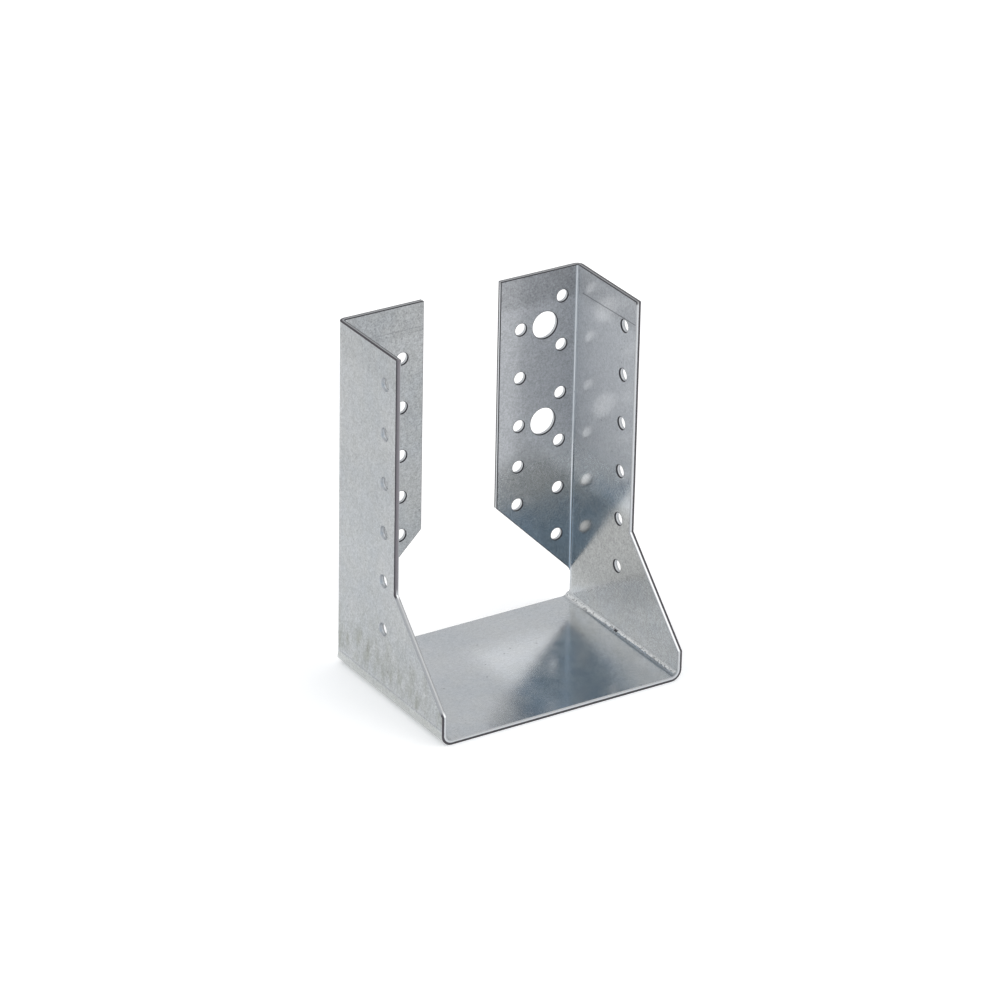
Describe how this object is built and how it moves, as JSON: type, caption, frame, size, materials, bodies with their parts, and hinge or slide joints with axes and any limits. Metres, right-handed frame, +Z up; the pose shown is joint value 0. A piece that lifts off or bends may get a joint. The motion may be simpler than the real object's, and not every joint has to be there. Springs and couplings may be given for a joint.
{
  "type": "joist hanger",
  "caption": "Face-fixed joist hanger folded from galvanised sheet, with a flat seat, stepped side plates, inward header flanges, nail holes and bolt holes.",
  "frame": {"origin": "middle of the bounding box at the base, on the plane that the seat rests on", "axes": "+Z up; +Y towards the header that the flanges are fixed to; the joist enters from -Y; X across"},
  "size_m": [0.1054, 0.077, 0.142],
  "materials": {
    "galvanised_steel": "galvanised, dull silver grey with faint mottling and cut edges"
  },
  "bodies": {
    "root": {"hanger": "galvanised_steel"}
  },
  "joints": []
}
